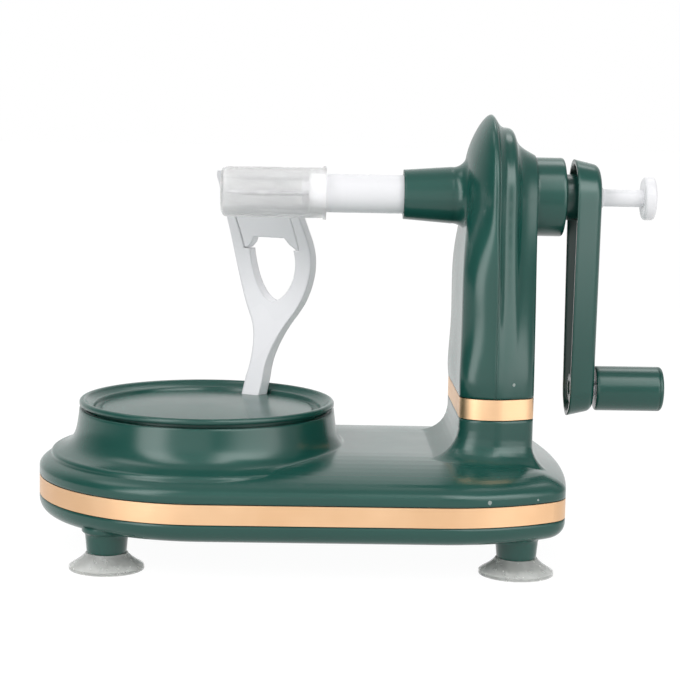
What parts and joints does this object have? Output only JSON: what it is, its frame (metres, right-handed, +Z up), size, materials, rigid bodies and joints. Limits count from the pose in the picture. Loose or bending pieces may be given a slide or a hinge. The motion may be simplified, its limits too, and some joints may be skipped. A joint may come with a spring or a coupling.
{
  "type": "apple peeler",
  "caption": "Hand cranked apple peeler: a fork spindle on a column, a geared tray that carries a sprung peeling arm round the fruit, on a base with suction feet.",
  "frame": {"origin": "centre of the bounding box in plan, on the plane that the suction cups' rims rest on", "axes": "+X from the tray towards the crank along the spindle, +Y away from the viewer, +Z up"},
  "size_m": [0.262, 0.14, 0.1833],
  "materials": {
    "green_plastic": "semi-gloss moulded plastic",
    "trim_gold": "rose gold, satin",
    "cup_clear": "clear soft rubber",
    "white_plastic": "smooth cool white",
    "cap_frosted": "frosted translucent",
    "steel": "satin steel",
    "gear_plastic": "moulded acetal"
  },
  "bodies": {
    "base": {"base_bottom_cover": "green_plastic", "base_top_housing": "green_plastic", "base_trim_band": "trim_gold", "suction_cup_front_left": "cup_clear", "suction_cup_rear_left": "cup_clear", "suction_cup_front_right": "cup_clear", "suction_cup_rear_right": "cup_clear", "base_screws": "steel", "column_trim_band": "trim_gold", "column_front_shell": "green_plastic", "column_rear_shell": "green_plastic", "column_screws": "steel", "shaft_bracket": "gear_plastic", "lower_shaft_bush": "gear_plastic", "upper_shaft_bush": "gear_plastic", "compound_pin": "steel", "idler_pin": "steel", "tray_post": "steel", "front_spindle_bush": "white_plastic", "rear_spindle_bush": "white_plastic"},
    "spindle": {"spindle_tube": "white_plastic", "spindle_bevel_gear": "gear_plastic", "fork_hub": "white_plastic", "fork_prong_1": "steel", "fork_prong_2": "steel", "fork_prong_3": "steel", "fork_prong_4": "steel", "rod_bush": "white_plastic", "crank_arm": "green_plastic", "crank_set_screw": "steel", "handle_pin": "steel"},
    "handle": {"handle_grip": "green_plastic", "handle_end_cap": "green_plastic"},
    "ejector": {"push_rod": "white_plastic", "ejector_plate": "white_plastic", "push_button": "white_plastic"},
    "cap": {"protective_cap": "cap_frosted"},
    "drive_shaft_body": {"drive_shaft": "steel", "shaft_bevel_gear": "gear_plastic", "shaft_pinion": "gear_plastic"},
    "idler": {"idler_gear": "gear_plastic"},
    "compound": {"compound_gear": "gear_plastic"},
    "turntable": {"turntable_gear": "gear_plastic", "turntable_tray": "green_plastic", "turntable_screws": "steel", "arm_pivot_pin": "steel", "arm_torsion_spring": "steel"},
    "arm": {"peeler_arm": "white_plastic", "carrier_pins": "steel"},
    "carrier": {"blade_carrier": "white_plastic", "peeler_blade": "steel"}
  },
  "joints": [
    {"name": "crank_turn", "type": "hinge", "parent": "base", "child": "spindle", "pos_m": [0.059, 0, 0.1495], "axis": [1, 0, 0], "range_deg": [-5952, 288]},
    {"name": "drive_shaft_turn", "type": "hinge", "parent": "base", "child": "drive_shaft_body", "pos_m": [0.059, 0, 0.03], "axis": [0, 0, 1], "range_deg": [-5952, 288]},
    {"name": "idler_turn", "type": "hinge", "parent": "base", "child": "idler", "pos_m": [0.0365, 0, 0.03], "axis": [0, 0, 1], "range_deg": [-144, 2976]},
    {"name": "compound_turn", "type": "hinge", "parent": "base", "child": "compound", "pos_m": [-0.0085, 0, 0.03], "axis": [0, 0, 1], "range_deg": [-1488, 72]},
    {"name": "turntable_turn", "type": "hinge", "parent": "base", "child": "turntable", "pos_m": [-0.061, 0, 0.03], "axis": [0, 0, 1], "range_deg": [-12, 248]},
    {"name": "handle_spin", "type": "hinge", "parent": "spindle", "child": "handle", "pos_m": [0.117, 0, 0.069], "axis": [1, 0, 0], "continuous": true},
    {"name": "push_rod_slide", "type": "slide", "parent": "spindle", "child": "ejector", "axis": [-1, 0, 0], "range_m": [0, 0.0165]},
    {"name": "cap_slide", "type": "slide", "parent": "spindle", "child": "cap", "axis": [-1, 0, 0], "range_m": [0, 0.045]},
    {"name": "arm_tilt", "type": "hinge", "parent": "turntable", "child": "arm", "pos_m": [-0.04282, 0.03507, 0.0523], "axis": [-0.8878, 0.4602, 0], "range_deg": [-4, 12], "stiffness_Nm_per_rad": 0.15},
    {"name": "carrier_swivel", "type": "hinge", "parent": "arm", "child": "carrier", "pos_m": [-0.03959, 0.0413, 0.141], "axis": [-0.8878, 0.4602, 0], "range_deg": [-12, 1]}
  ],
  "couplings": [
    {"joint": "drive_shaft_turn", "follows": "crank_turn", "ratio": 1},
    {"joint": "idler_turn", "follows": "crank_turn", "ratio": -0.5},
    {"joint": "compound_turn", "follows": "crank_turn", "ratio": 0.25},
    {"joint": "turntable_turn", "follows": "crank_turn", "ratio": -0.041667}
  ]
}
